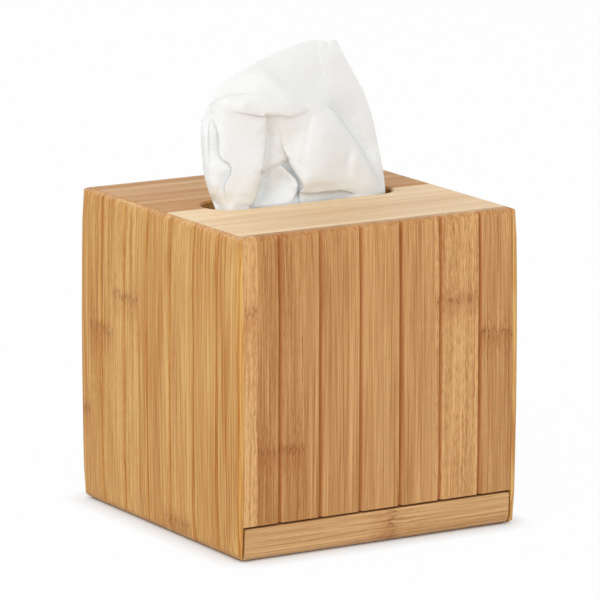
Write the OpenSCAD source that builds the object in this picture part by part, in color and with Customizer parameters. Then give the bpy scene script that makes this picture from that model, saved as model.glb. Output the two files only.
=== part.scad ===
// Cube tissue box in laminated bamboo with a base that slides out to the front, and one tissue drawn up.
// +Z is up, the front looks along -Y, and the origin is on the floor under the middle of the box.
// All sizes are in millimetres.

/* [Box] */
// outside width, left to right
box_width = 140; // [130:1:165]
// outside depth, front to back
box_depth = 140; // [130:1:165]
// outside height
box_height = 140; // [115:1:165]
// rounding of the top outer edges
edge_radius = 3.2; // [2:0.1:4.2]
// rounding of the bottom outer edges
foot_radius = 4.6; // [2.4:0.1:4.8]
// rounding of the four upright outer edges
corner_radius = 3; // [1.8:0.1:4]
// how far the four faces swell between floor and top
face_bow = 0.6; // [0.2:0.1:0.9]
// how much more is sanded off toward the top and bottom edges
edge_ease = 0.4; // [0.1:0.1:0.6]

/* [Boards] */
// thickness of the two side walls
side_thickness = 8; // [7:0.5:10]
// thickness of the front and back panels
panel_thickness = 6.4; // [6:0.2:9]
// thickness of the top panel
top_thickness = 7; // [5:0.5:9]
// what the left wall keeps outside the front and back panels
left_lip = 2; // [1.8:0.1:3.4]
// what the right wall keeps outside the front and back panels
right_lip = 3.6; // [2.4:0.1:3.8]
// what each side wall keeps outside the top panel
top_lip = 3.2; // [2.4:0.1:3.8]

/* [Grooves] */
// distance from one groove to the next
groove_pitch = 20; // [16:1:26]
// width of a groove at the face
groove_width = 2.2; // [1.2:0.1:3]
// depth of a groove
groove_depth = 1.2; // [0.8:0.1:1.8]

/* [Slot] */
// length of the slot, ends included
slot_length = 93; // [84:1:104]
// width of the slot
slot_width = 24; // [20:1:30]
// chamfer round the slot's rim
slot_ease = 0.8; // [0.4:0.1:1.4]

/* [Sliding base] */
// height of the bar that closes the front of the base
bar_height = 14.4; // [12.4:0.2:18]
// dark gap between the bar and the front panel
bar_gap = 1; // [0.4:0.1:1.4]
// gap at each end of the bar
bar_end_gap = 0.8; // [0.3:0.1:1.2]
// rounding of the bar's upper corners
bar_corner = 1.2; // [0.6:0.1:2.4]
// thickness of the base board
base_thickness = 5; // [4:0.5:6]
// how far the base board reaches into each side wall
tongue = 4; // [3:0.5:4.5]
// underside of the tongue grooves above the floor
runner_height = 4; // [3:0.5:5]
// play between a tongue and its groove
slide_play = 0.25; // [0.15:0.05:0.4]
// how far the sliding base clears the floor
floor_gap = 0.3; // [0.2:0.1:0.6]
// gap between the base board and the back panel
rear_gap = 0.5; // [0.3:0.1:1.5]

/* [Tissues] */
// width of the pack of tissues
pack_width = 112; // [104:1:114]
// depth of the pack
pack_depth = 106; // [96:1:112]
// height that is left of the pack
pack_height = 60; // [30:1:75]
// rounding of the pack's upright edges
pack_corner = 4; // [2:0.5:8]
// clearance under the pack
pack_clearance = 0.3; // [0.2:0.1:0.6]
// clearance round soft pieces
soft_gap = 0.4; // [0.3:0.1:0.8]
// how far below the top panel the drawn sheet begins to spread
spread_start = 2; // [1:0.5:6]
// height of the drawn tissue's corner above the box
tissue_rise = 69; // [50:1:85]
// thickness of the folded sheet
sheet_thickness = 0.6; // [0.4:0.1:0.8]

/* [Hidden] */
half_width = box_width / 2;
half_depth = box_depth / 2;
mid_height = box_height / 2;
inner_x = half_width - side_thickness;
inner_y = half_depth - panel_thickness;
left_edge = left_lip - half_width;
right_edge = half_width - right_lip;
top_edge = half_width - top_lip;
underside = box_height - top_thickness;
bar_top = floor_gap + bar_height;
panel_foot = bar_top + bar_gap;
tongue_x = inner_x + tongue;
groove_top = runner_height + base_thickness + 2 * slide_play;
base_under = runner_height + slide_play;
base_top = base_under + base_thickness;
pack_foot = base_top + pack_clearance;
pack_top = pack_foot + pack_height;
slot_radius = slot_width / 2;
slot_straight = slot_length / 2 - slot_radius;
reach = 20;
$fn = 72;

function mix(a, b, t) = a + (b - a) * t;
function ease(t) = let (u = min(1, max(0, t))) u * u * (3 - 2 * u);
function bell(t) = exp(-t * t);

// Outer form: two prisms with swelling sides and rounded top and bottom edges, cut to one block.
// The swell runs in flat strips, and every upright edge is rounded strip by strip.
flat_share = 0.2;
ease_share = 0.8;
bow_places = [-1, -ease_share, -0.6, -flat_share, flat_share, 0.6, ease_share, 1];
bow_strips = len(bow_places) - 1;
face_loss = face_bow + edge_ease;
function swell(z) = let (t = abs(z) / mid_height)
  face_bow * (t * t - flat_share * flat_share) / (1 - flat_share * flat_share)
  + edge_ease * max(0, t - ease_share) / (1 - ease_share);
function strip_end(i) = bow_places[i] * mid_height;
end_slope = atan((swell(strip_end(0)) - swell(strip_end(1))) / (strip_end(1) - strip_end(0)));
function round_place(half, r) = half - face_loss - r * (1 - sin(end_slope)) / cos(end_slope);
function round_end(half, r) = [round_place(half, r) + r * cos(end_slope), mid_height - r + r * sin(end_slope)];
function outline_side(half) = let (foot = round_end(half, foot_radius))
  concat([[round_place(half, foot_radius), -mid_height], [foot.x, -foot.y]],
    [for (i = [1:bow_strips - 1]) [half - swell(strip_end(i)), strip_end(i)]],
    [round_end(half, edge_radius), [round_place(half, edge_radius), mid_height]]);

module swelling_prism(half, length) {
  side = outline_side(half);
  n = len(side);
  translate([0, length / 2, mid_height])
    rotate([90, 0, 0])
      linear_extrude(length) {
        polygon(concat(side, [for (i = [n - 1:-1:0]) [-side[i].x, side[i].y]]));
        for (x = [-1, 1]) {
          translate([x * round_place(half, edge_radius), mid_height - edge_radius])
            circle(r = edge_radius);
          translate([x * round_place(half, foot_radius), foot_radius - mid_height])
            circle(r = foot_radius);
        }
      }
}

module upright_waste() {
  for (i = [0:bow_strips - 1]) {
    low = strip_end(i);
    high = strip_end(i + 1);
    lean = atan(sqrt(2) * (swell(high) - swell(low)) / (high - low));
    inward = (swell(high) + swell(low)) / sqrt(2);
    translate([half_width - corner_radius, half_depth - corner_radius, mid_height])
      rotate([0, 0, 45])
        translate([-inward, 0, (low + high) / 2])
          rotate([0, -lean, 0])
            linear_extrude(high - low + 1, center = true)
              difference() {
                translate([0.6 * corner_radius, -corner_radius / sqrt(2)])
                  square([2 * corner_radius, sqrt(2) * corner_radius]);
                circle(r = 1.01 * corner_radius);
              }
  }
}

module outer_form() {
  difference() {
    intersection() {
      swelling_prism(half_width, box_depth + 2);
      rotate([0, 0, 90])
        swelling_prism(half_depth, box_width + 2);
    }
    for (x = [0, 1])
      for (y = [0, 1])
        mirror([x, 0, 0])
          mirror([0, y, 0])
            upright_waste();
  }
}

// Grooves: straight cuts with a V section on both faces of a pair of boards.
groove_count = floor((half_width - groove_pitch / 4) / groove_pitch + 0.5);
groove_places = [for (i = [1:groove_count]) for (s = [-1, 1]) s * (i - 0.5) * groove_pitch];
side_groove_count = floor((half_depth - groove_pitch / 4) / groove_pitch + 0.5);
side_groove_places = [for (i = [1:side_groove_count]) for (s = [-1, 1]) s * (i - 0.5) * groove_pitch];

groove_bends = [-1, -0.6, 0.6, 1];

// A groove runs in three straight cuts, which lean with the swell of the face.
module groove() {
  flare = (groove_depth + 1) / groove_depth;
  for (i = [0:2]) {
    low = groove_bends[i] * mid_height;
    high = groove_bends[i + 1] * mid_height;
    lean = atan((swell(high) - swell(low)) / (high - low));
    translate([0, (swell(high) + swell(low)) / 2, mid_height + (low + high) / 2])
      rotate([-lean, 0, 0])
        linear_extrude(high - low + 1, center = true)
          polygon([[0, groove_depth], [-groove_width / 2 * flare, -1], [groove_width / 2 * flare, -1]]);
  }
}

module front_grooves() {
  for (x = groove_places)
    translate([x, -half_depth, 0])
      groove();
}

module left_grooves() {
  for (y = side_groove_places)
    translate([-half_width, y, 0])
      rotate([0, 0, -90])
        groove();
}

// Side wall: its lips cover the ends of front, back and top panels, and its groove carries the base.
module wall(lip) {
  difference() {
    intersection() {
      outer_form();
      translate([-half_width - 1, -half_depth - 1, -1])
        cube([side_thickness + 1, box_depth + 2, box_height + 2]);
    }
    for (s = [-1, 1])
      translate([lip - half_width, s > 0 ? inner_y : -half_depth - 1, -1])
        cube([side_thickness, panel_thickness + 1, box_height + 2]);
    translate([-top_edge, -inner_y, underside])
      cube([side_thickness, 2 * inner_y, top_thickness + 1]);
    translate([-tongue_x, -half_depth, runner_height])
      cube([tongue + 1, box_depth, groove_top - runner_height]);
    left_grooves();
  }
}

module left_wall() {
  color("burlywood")
    wall(left_lip);
}

module right_wall() {
  color("burlywood")
    mirror([1, 0, 0])
      wall(right_lip);
}

// Front and back panels stand between the lips. The front one stops above the bar.
module panel(foot) {
  difference() {
    intersection() {
      outer_form();
      translate([left_edge, -half_depth - 1, foot])
        cube([right_edge - left_edge, panel_thickness + 1, box_height + 1 - foot]);
    }
    front_grooves();
  }
}

module front_panel() {
  color("tan")
    panel(panel_foot);
}

module back_panel() {
  color("tan")
    mirror([0, 1, 0])
      panel(0);
}

// Top panel: its ends lie in the rebates, and the slot has half-round ends and an eased rim.
module slot_cut() {
  for (s = [-1, 1])
    translate([s * slot_straight, 0, 0]) {
      translate([0, 0, underside - 1])
        cylinder(r = slot_radius, h = top_thickness + 2);
      translate([0, 0, box_height - slot_ease])
        cylinder(r1 = slot_radius, r2 = slot_radius + 2 * slot_ease, h = 2 * slot_ease);
    }
  translate([-slot_straight, -slot_radius, underside - 1])
    cube([2 * slot_straight, slot_width, top_thickness + 2]);
  translate([-slot_straight, 0, box_height])
    rotate([90, 0, 90])
      linear_extrude(2 * slot_straight)
        polygon([[-slot_radius, -slot_ease], [slot_radius, -slot_ease],
          [slot_radius + 2 * slot_ease, slot_ease], [-slot_radius - 2 * slot_ease, slot_ease]]);
}

module top_panel() {
  color("wheat")
    difference() {
      intersection() {
        outer_form();
        translate([-top_edge, -inner_y, underside])
          cube([2 * top_edge, 2 * inner_y, top_thickness + 1]);
      }
      slot_cut();
    }
}

// Sliding base: a board on tongues, closed at the front by a bar between the lips.
module base_board() {
  color("peru")
    translate([-tongue_x + slide_play, -inner_y, base_under])
      cube([2 * (tongue_x - slide_play), 2 * inner_y - rear_gap, base_thickness]);
}

module bar_outline() {
  left = left_edge + bar_end_gap;
  right = right_edge - bar_end_gap;
  for (x = [left + bar_corner, right - bar_corner])
    translate([x, bar_height - bar_corner])
      circle(r = bar_corner);
  translate([left + bar_corner, 0])
    square([right - left - 2 * bar_corner, bar_height]);
  translate([left, 0])
    square([right - left, bar_height - bar_corner]);
}

module base_front() {
  color("sandybrown")
    intersection() {
      translate([0, 0, floor_gap])
        outer_form();
      translate([0, -inner_y, floor_gap])
        rotate([90, 0, 0])
          linear_extrude(panel_thickness + 1)
            bar_outline();
    }
}

// Pack of folded tissues.
module tissue_stack() {
  color("whitesmoke")
    translate([0, 0, pack_foot])
      linear_extrude(pack_height) {
        for (x = [-1, 1])
          for (y = [-1, 1])
            translate([x * (pack_width / 2 - pack_corner), y * (pack_depth / 2 - pack_corner)])
              circle(r = pack_corner);
        square([pack_width - 2 * pack_corner, pack_depth], center = true);
        square([pack_width, pack_depth - 2 * pack_corner], center = true);
      }
}

// Drawn tissue: one sheet, folded double at its left edge, with two lobes in front, a hollow between them
// and a hood above. Across it is measured in half slot lengths, forward in half slot widths and up in
// shares of the rise. The fold lines are read over the way from the slot, 0, to the hem, 1.
left_line = [[0, -0.93], [0.3, -1.04], [0.8, -1.06], [1, -1.04]];
crease_line = [[0, -0.84], [0.25, -0.83], [0.4, -0.82], [0.55, -0.9], [0.75, -0.95], [1, -0.98]];
left_lobe_line = [[0, -0.6], [0.06, -0.56], [0.3, -0.51], [1, -0.48]];
right_lobe_line = [[0, -0.12], [0.18, -0.06], [0.3, -0.12], [0.5, -0.24], [0.75, -0.34], [1, -0.36]];
diagonal_line = [[0, 0.74], [0.27, 0.66], [0.46, 0.57], [0.66, 0.45], [0.8, 0.33], [1, 0.2]];
right_line = [[0, 0.83], [0.22, 0.91], [0.54, 0.86], [0.8, 0.78], [1, 0.7]];
crest_depth = [[0, -0.93], [0.3, -1.12], [0.7, -1.18], [1, -1.14]];
hollow_depth = [[0, -0.72], [0.12, -0.66], [0.3, -0.3], [0.5, -0.12], [1, -0.15]];
crease_depth = [[0, -0.6], [0.3, -0.62], [0.6, -0.7], [1, -0.74]];
diagonal_depth = [[0, -0.62], [0.25, -0.2], [0.6, -0.05], [0.85, -0.3], [1, -0.6]];
right_depth = [[0, -0.55], [0.25, -0.15], [0.6, 0.02], [1, -0.1]];
back_depth = [[0, 0.3], [0.4, 0.42], [1, 0.4]];

// Stations across the sheet at one height: right edge, diagonal fold, right lobe, hollow, left lobe,
// crease, left edge, and the plain back from left to right.
function stations(g) = let (
    l = lookup(g, left_line), c = lookup(g, crease_line), a = lookup(g, left_lobe_line),
    b = lookup(g, right_lobe_line), d = lookup(g, diagonal_line), r = lookup(g, right_line),
    crest = lookup(g, crest_depth), low = lookup(g, hollow_depth), cr = lookup(g, crease_depth),
    dv = lookup(g, diagonal_depth), rd = lookup(g, right_depth), bk = lookup(g, back_depth),
    lr = r - d)
  [[r, rd], [d + 0.55 * lr, mix(dv, rd, 0.5) - 0.05], [d + 0.12 * lr, dv], [d - 0.03, mix(dv, crest, 0.6)],
   [d - 0.12, crest + 0.04], [mix(b, d, 0.55), crest - 0.02], [b + 0.1, crest], [b + 0.01, crest + 0.14],
   [b + 0.03, mix(crest, low, 0.6)], [b - 0.04, low], [mix(a, b, 0.5), low + 0.06], [a + 0.05, low],
   [a - 0.02, mix(crest, low, 0.6)], [a, crest + 0.16], [a - 0.09, crest + 0.02], [mix(a, c, 0.6), crest + 0.06],
   [c + 0.06, crest + 0.16], [c, cr], [mix(c, l, 0.45), cr - 0.08], [l, -0.36], [l + 0.05, 0.06],
   [mix(l, r, 0.22), bk - 0.04], [mix(l, r, 0.5), bk], [mix(l, r, 0.78), bk - 0.03], [r - 0.04, rd + 0.42],
   [r + 0.01, rd + 0.22]];
front_stations = 20;

// A plain flat fold, which the sheet has where it comes out of the pack.
function plain_station(j, n) = j < front_stations
  ? [mix(1.05, -1.08, j / (front_stations - 1)), -0.5 + 0.2 * pow(j / (front_stations - 1), 4)]
  : [mix(-1.05, 1.05, (j - front_stations) / (n - 1 - front_stations)), 0.3];

// Hem and top edge, read over the share from the left edge to the right edge.
hem_rise = [[0, 0.6], [0.08, 0.615], [0.2, 0.62], [0.4, 0.59], [0.6, 0.6], [0.8, 0.6], [1, 0.6]];
top_across = [[0, -0.99], [0.08, -0.9], [0.22, -0.66], [0.4, -0.37], [0.56, -0.12], [0.75, 0.13], [0.9, 0.3], [1, 0.415]];
top_rise = [[0, 0.7], [0.08, 0.755], [0.22, 0.845], [0.4, 0.914], [0.56, 0.967], [0.75, 0.997], [0.9, 0.985], [1, 1]];
function hood_depth(s, k, own) = let (
    ridge = mix(-1.3, own, ease((s - 0.6) / 0.25)),
    crown = mix(-0.2, 0.05, s),
    valley = 0.2 * (1 - ease((s - 0.3) / 0.35)) * bell((k - 0.26) / 0.11))
  mix(ridge, crown, pow(k, 1.25)) + valley;

// Rows from the pack to the top edge: below the slot, in the slot, lobes, hem and hood.
lobe_rows = [0, 0.1, 0.2, 0.3, 0.4, 0.5, 0.6, 0.7, 0.8, 0.88, 0.94, 0.97];
hood_rows = [0, 0.07, 0.15, 0.24, 0.34, 0.46, 0.6, 0.76, 0.9, 1];
drop = box_height - pack_top - soft_gap;
spread_from = top_thickness + spread_start;
hood_spread = 0.2;

// Keeps a place in the slot clear of the slot's wall.
function in_slot(p) = let (
    room = slot_radius - soft_gap - sheet_thickness / 2,
    x = max(-slot_straight - room, min(slot_straight + room, p.x)),
    over = max(0, abs(x) - slot_straight),
    y = sqrt(max(0, room * room - over * over)))
  [x, max(-y, min(y, p.y)), p.z];
function placed(q, h) = [q.x * slot_length / 2, q.y * slot_radius, box_height + h];
function low_row(m) = let (s = stations(0), n = len(s)) [for (j = [0:n - 1]) let (
    p = in_slot(placed(s[j], 0)),
    q = placed(plain_station(j, n), 0),
    t = ease((m * drop - spread_from) / (drop - spread_from)))
  [mix(p.x, q.x, t), mix(p.y, q.y, t), box_height - m * drop]];
function share(s, j) = (s[j].x - s[front_stations - 1].x) / (s[0].x - s[front_stations - 1].x);
function lobe_row(g) = let (s = stations(g), e = stations(1)) [for (j = [0:len(s) - 1]) let (
    p = placed(s[j], g * lookup(share(e, j), hem_rise) * tissue_rise))
  g == 0 ? in_slot(p) : p];
function hood_row(k) = let (s = stations(1)) [for (j = [0:len(s) - 1]) let (
    t = share(s, j),
    rear = j >= front_stations,
    h = mix(lookup(t, hem_rise) + 0.012, lookup(t, top_rise) - (rear ? 0.012 : 0), k),
    x = mix(s[j].x, lookup(t, top_across), k),
    left = ease(t / 0.1),
    crown = hood_depth(t, 1, s[j].y),
    y = rear ? mix(s[j].y, crown + hood_spread, k) : mix(s[j].y, hood_depth(t, k, s[j].y), j == front_stations - 1 ? k : left))
  placed([x, y], h * tissue_rise)];

sections = concat(
  [for (m = [1, 0.8, 0.6, 0.4, 0.25, spread_from / drop]) low_row(m)],
  [for (g = lobe_rows) lobe_row(g)],
  [for (k = hood_rows) hood_row(k)]);

// Each section is drawn as a smooth line through its stations.
line_steps = 2;
function through(p0, p1, p2, p3, t) = 0.5 * (2 * p1 + (p2 - p0) * t
  + (2 * p0 - 5 * p1 + 4 * p2 - p3) * t * t + (3 * p1 - p0 - 3 * p2 + p3) * t * t * t);
function smooth_line(s) = let (n = len(s)) concat(
  [for (j = [0:n - 2]) for (i = [0:line_steps - 1])
    through(s[max(0, j - 1)], s[j], s[j + 1], s[min(n - 1, j + 2)], i / line_steps)],
  [s[n - 1]]);
sheet = [for (s = sections) smooth_line(s)];
function unit(v) = v / max(norm(v), 1e-9);
function sheet_normal(i, j) = let (
    m = len(sheet) - 1, n = len(sheet[0]) - 1,
    up = sheet[min(m, i + 1)][j] - sheet[max(0, i - 1)][j],
    along = sheet[i][min(n, j + 1)] - sheet[i][max(0, j - 1)])
  unit(cross(along, up));

module tissue() {
  m = len(sheet);
  n = len(sheet[0]);
  skin = m * n;
  points = [for (side = [1, -1]) for (i = [0:m - 1]) for (j = [0:n - 1])
    sheet[i][j] + side * sheet_thickness / 2 * sheet_normal(i, j)];
  outer = [for (i = [0:m - 2]) for (j = [0:n - 2]) let (a = i * n + j)
    each [[a, a + n, a + 1], [a + 1, a + n, a + n + 1]]];
  inner = [for (f = outer) [f[0] + skin, f[2] + skin, f[1] + skin]];
  foot = [for (j = [0:n - 2]) each [[j, j + 1, j + skin], [j + 1, j + 1 + skin, j + skin]]];
  head = [for (j = [0:n - 2]) let (a = (m - 1) * n + j) each [[a, a + skin, a + 1], [a + 1, a + skin, a + 1 + skin]]];
  right = [for (i = [0:m - 2]) let (a = i * n) each [[a, a + skin, a + n], [a + n, a + skin, a + n + skin]]];
  left = [for (i = [0:m - 2]) let (a = i * n + n - 1) each [[a, a + n, a + skin], [a + n, a + n + skin, a + skin]]];
  color("white")
    polyhedron(points = points, faces = concat(outer, inner, foot, head, right, left), convexity = 10);
}

left_wall();
right_wall();
front_panel();
back_panel();
top_panel();
base_board();
base_front();
tissue_stack();
tissue();
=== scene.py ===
# %% [markdown]
# # A bamboo tissue box
# This lesson dresses a cube tissue box of laminated bamboo. The boards come ready made from the packed
# model, in metres, with the floor at z = 0 and the front toward -Y. They keep their shape here: what this
# script adds is the bamboo itself, the pack of tissues inside, and the one tissue that is drawn up through
# the slot.

# %% Load the boards
import bpy
import math
import numpy as np
from mathutils import Matrix, Vector


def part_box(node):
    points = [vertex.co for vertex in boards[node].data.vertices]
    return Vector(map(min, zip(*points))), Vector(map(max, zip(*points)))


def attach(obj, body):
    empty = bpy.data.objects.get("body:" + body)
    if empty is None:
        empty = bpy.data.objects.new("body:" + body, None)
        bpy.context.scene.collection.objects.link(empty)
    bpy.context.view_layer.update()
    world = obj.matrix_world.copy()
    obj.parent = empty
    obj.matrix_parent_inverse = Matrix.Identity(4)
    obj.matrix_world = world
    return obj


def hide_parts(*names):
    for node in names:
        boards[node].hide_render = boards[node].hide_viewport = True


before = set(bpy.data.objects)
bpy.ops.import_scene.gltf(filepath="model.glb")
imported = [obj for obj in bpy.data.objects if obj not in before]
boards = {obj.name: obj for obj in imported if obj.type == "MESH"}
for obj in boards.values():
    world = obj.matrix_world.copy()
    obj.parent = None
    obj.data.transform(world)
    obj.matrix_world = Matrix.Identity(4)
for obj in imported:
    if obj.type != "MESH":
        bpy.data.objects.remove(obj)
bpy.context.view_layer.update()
MM = 0.001
print("nodes", sorted(boards))

# %% [markdown]
# ## Camera
# The picture was taken from the left, a little above, with a long lens, so the upright edges stay nearly
# parallel. The place and turn of the camera follow from the corners of the cube, and the target lies inside
# the box.

# %% Camera
AZIMUTH, ELEVATION, ROLL = (math.radians(a) for a in (-30.961, 11.793, 0.097))
TARGET_RIGHT, TARGET_UP, DISTANCE = 1.141 * MM, 94.341 * MM, 2391.47 * MM
SENSOR = 36.0
FOCAL_PIXELS, PICTURE_PIXELS = 5485.486, 600

back = Vector((math.sin(AZIMUTH) * math.cos(ELEVATION),
               -math.cos(AZIMUTH) * math.cos(ELEVATION),
               math.sin(ELEVATION)))
right = Vector((math.cos(AZIMUTH), math.sin(AZIMUTH), 0.0))
up = back.cross(right)
target = TARGET_RIGHT * right + Vector((0.0, 0.0, TARGET_UP))
cam_right = math.cos(ROLL) * right + math.sin(ROLL) * up
cam_up = math.cos(ROLL) * up - math.sin(ROLL) * right
camera_data = bpy.data.cameras.new("camera")
camera_data.sensor_width = SENSOR
camera_data.lens = FOCAL_PIXELS / PICTURE_PIXELS * SENSOR
camera_data.clip_start, camera_data.clip_end = 0.1, 20.0
camera = bpy.data.objects.new("camera", camera_data)
turn = Matrix((cam_right, cam_up, back)).transposed().to_4x4()
camera.matrix_world = Matrix.Translation(target + DISTANCE * back) @ turn
bpy.context.scene.collection.objects.link(camera)
bpy.context.scene.camera = camera
print("lens", round(camera_data.lens, 1), "mm at", [round(x, 3) for x in camera.location])

# %% [markdown]
# ## Node helpers
# Every finish below is a tree of shader nodes. Small helpers keep the cells short: one adds a node, one
# feeds a socket with a number or with another socket, and the others wrap the nodes that are needed most.

# %% Node helpers
def add_node(tree, kind, **settings):
    node = tree.nodes.new(kind)
    for name, value in settings.items():
        setattr(node, name, value)
    return node


def feed(tree, value, socket):
    if isinstance(value, bpy.types.NodeSocket):
        tree.links.new(value, socket)
    else:
        socket.default_value = value


def feed_all(tree, values, node):
    for value, socket in zip(values, node.inputs):
        feed(tree, value, socket)


def maths(tree, operation, *values):
    node = add_node(tree, "ShaderNodeMath", operation=operation)
    feed_all(tree, values, node)
    return node.outputs[0]


def remap(tree, value, low, high, to_low=0.0, to_high=1.0, smooth=True):
    """The value's way from low to high, turned into a way from to_low to to_high."""
    node = add_node(tree, "ShaderNodeMapRange", interpolation_type="SMOOTHSTEP" if smooth else "LINEAR")
    feed_all(tree, (value, low, high, to_low, to_high), node)
    return node.outputs[0]


def combine(tree, *values):
    node = add_node(tree, "ShaderNodeCombineXYZ")
    feed_all(tree, values, node)
    return node.outputs[0]


def separate(tree, vector):
    node = add_node(tree, "ShaderNodeSeparateXYZ")
    feed(tree, vector, node.inputs[0])
    return node.outputs[0], node.outputs[1], node.outputs[2]


print("helpers for numbers and vectors are ready")

# %% Helpers for colours and patterns
# A mix node has a pair of inputs for each kind of value, and these are its colour sockets.
COLOUR_A, COLOUR_B, COLOUR_OUT = 6, 7, 2


def mix_colour(tree, factor, a, b):
    node = add_node(tree, "ShaderNodeMix", data_type="RGBA", blend_type="MIX")
    feed(tree, factor, node.inputs[0])
    feed(tree, a, node.inputs[COLOUR_A])
    feed(tree, b, node.inputs[COLOUR_B])
    return node.outputs[COLOUR_OUT]


def noise(tree, vector, detail=2.0, roughness=0.5):
    node = add_node(tree, "ShaderNodeTexNoise")
    feed(tree, vector, node.inputs["Vector"])
    node.inputs["Scale"].default_value = 1.0
    node.inputs["Detail"].default_value = detail
    node.inputs["Roughness"].default_value = roughness
    return node.outputs[0]


def bell(tree, value, width):
    """One at zero, falling off softly to both sides."""
    share = maths(tree, "DIVIDE", value, width)
    return maths(tree, "EXPONENT", maths(tree, "MULTIPLY", maths(tree, "MULTIPLY", share, share), -1.0))


def new_group(name, inputs, outputs):
    group = bpy.data.node_groups.new(name, "ShaderNodeTree")
    for label, kind, default in inputs:
        socket = group.interface.new_socket(label, in_out="INPUT", socket_type="NodeSocket" + kind)
        socket.default_value = default
    for label, kind in outputs:
        group.interface.new_socket(label, in_out="OUTPUT", socket_type="NodeSocket" + kind)
    return group, add_node(group, "NodeGroupInput"), add_node(group, "NodeGroupOutput")


print("helpers for colours and patterns are ready")

# %% [markdown]
# ## Bamboo
# Laminated bamboo is made of split and planed strips, glued edge to edge. Each strip has its own shade,
# long fine fibres, a wavy figure where the culm's wall was cut on a slant, and here and there a node: a
# band of dark dots with darker wood round it. At a board's ends the fibres show as small dots. One group
# draws all of that in a board's own directions, in millimetres: across the strips, along the fibres and
# into the board.

# %% Bamboo group: what a board tells it
bamboo, given, made = new_group("bamboo", [
    ("Place", "Vector", (0.0, 0.0, 0.0)),
    ("Strip", "Color", (0.5, 0.0, 0.0, 1.0)),
    ("End", "Float", 0.0),
    ("Groove Shade", "Float", 0.0),
    ("Grain", "Float", 1.0),
    ("Light", "Color", (0.7, 0.45, 0.2, 1.0)),
    ("Dark", "Color", (0.4, 0.2, 0.08, 1.0)),
    ("Red", "Color", (0.4, 0.17, 0.07, 1.0)),
    ("Node", "Color", (0.3, 0.12, 0.04, 1.0)),
    ("Seed", "Float", 0.0),
], [("Color", "Color"), ("Roughness", "Float"), ("Height", "Float")])
across, along, depth = separate(bamboo, given.outputs["Place"])
seed, grain = given.outputs["Seed"], given.outputs["Grain"]
light, dark, red, brown = (given.outputs[label] for label in ("Light", "Dark", "Red", "Node"))
strip = add_node(bamboo, "ShaderNodeSeparateColor")
bamboo.links.new(given.outputs["Strip"], strip.inputs[0])
shade, figure, node_place = strip.outputs[0], strip.outputs[1], strip.outputs[2]


def times(value, factor):
    return maths(bamboo, "MULTIPLY", value, factor)


def plus(first, second):
    return maths(bamboo, "ADD", first, second)


def pattern_place(first, first_waves, second, second_waves):
    """Where a pattern is read that has so many waves a millimetre in two directions."""
    return combine(bamboo, times(first, first_waves), times(second, second_waves), seed)


print("a board tells:", [socket.name for socket in given.outputs if socket.name])

# %% Bamboo group: round a node
# All sizes are millimetres. A node's band wanders a little. A halo lies just below it, and near it the
# fibres sway.
NODE_SPAN, NODE_START = 160.0, -20.0
BAND_WIDTH, HALO_WIDTH, NEAR_WIDTH = 2.4, 7.0, 17.0
HALO_DROP, WANDER = 3.0, 7.0
SWAY_AT_NODE = 0.45
node_height = maths(bamboo, "MULTIPLY_ADD", node_place, NODE_SPAN, NODE_START)
wander = noise(bamboo, pattern_place(across, 0.3, along, 0.04), 3.0)
strayed = maths(bamboo, "MULTIPLY_ADD", wander, WANDER, -WANDER / 2.0)
from_node = plus(maths(bamboo, "SUBTRACT", along, node_height), strayed)
band = bell(bamboo, from_node, BAND_WIDTH)
halo = bell(bamboo, plus(from_node, HALO_DROP), HALO_WIDTH)
wavy = maths(bamboo, "MAXIMUM", figure, times(bell(bamboo, from_node, NEAR_WIDTH), SWAY_AT_NODE))
print("a node's band is about", BAND_WIDTH, "mm wide, its halo", HALO_WIDTH, "mm")

# %% Bamboo group: fibres
MEANDER, DEPTH_SHARE, FIBRE_ROUGHNESS = 1.7, 0.35, 0.6
# Waves a millimetre across and along, detail, and a shift that keeps the patterns apart.
FIBRES = {
    "fine": (2.3, 0.02, 2.0, 0.0),
    "middle": (0.9, 0.009, 2.0, 3.0),
    "broad": (0.12, 0.005, 1.0, 5.0),
    "streak": (1.4, 0.012, 1.0, 9.0),
    "dash": (2.0, 0.14, 1.0, 12.0),
    "ripple": (1.15, 0.24, 2.0, 15.0),
    "ragged": (1.5, 0.3, 2.0, 21.0),
}
sway = maths(bamboo, "MULTIPLY_ADD", noise(bamboo, pattern_place(across, 0.3, along, 0.11)), 2.0, -1.0)
flow = plus(across, times(sway, times(wavy, MEANDER)))


def fibres(across_waves, along_waves, detail, shift):
    """Long thin patches that follow the flow, with values round zero."""
    level = maths(bamboo, "MULTIPLY_ADD", depth, across_waves * DEPTH_SHARE, seed)
    place = combine(bamboo, times(flow, across_waves), times(along, along_waves), plus(level, shift))
    return maths(bamboo, "SUBTRACT", noise(bamboo, place, detail, FIBRE_ROUGHNESS), 0.5)


fibre = {name: fibres(*numbers) for name, numbers in FIBRES.items()}
print("fibre patterns:", list(fibre))

# %% Bamboo group: colour of the face
STREAK_RED, HALO_RED = 0.38, 0.22
streak = times(remap(bamboo, fibre["streak"], 0.09, 0.2), grain)
dash = remap(bamboo, fibre["dash"], 0.08, 0.22)
tone = shade
for part, weight in (
    (times(fibre["fine"], grain), 1.7),
    (times(fibre["middle"], grain), 0.85),
    (fibre["broad"], 0.7),
    (dash, -0.14),
    (times(fibre["ripple"], wavy), 2.0),
    (halo, -0.06),
):
    tone = plus(tone, times(part, weight))
plain = mix_colour(bamboo, remap(bamboo, tone, 0.0, 1.0, smooth=False), dark, light)
plain = mix_colour(bamboo, times(streak, STREAK_RED), plain, red)
warmed = mix_colour(bamboo, times(halo, HALO_RED), plain, red)
print("a strip's tone moves with six patterns")


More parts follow.
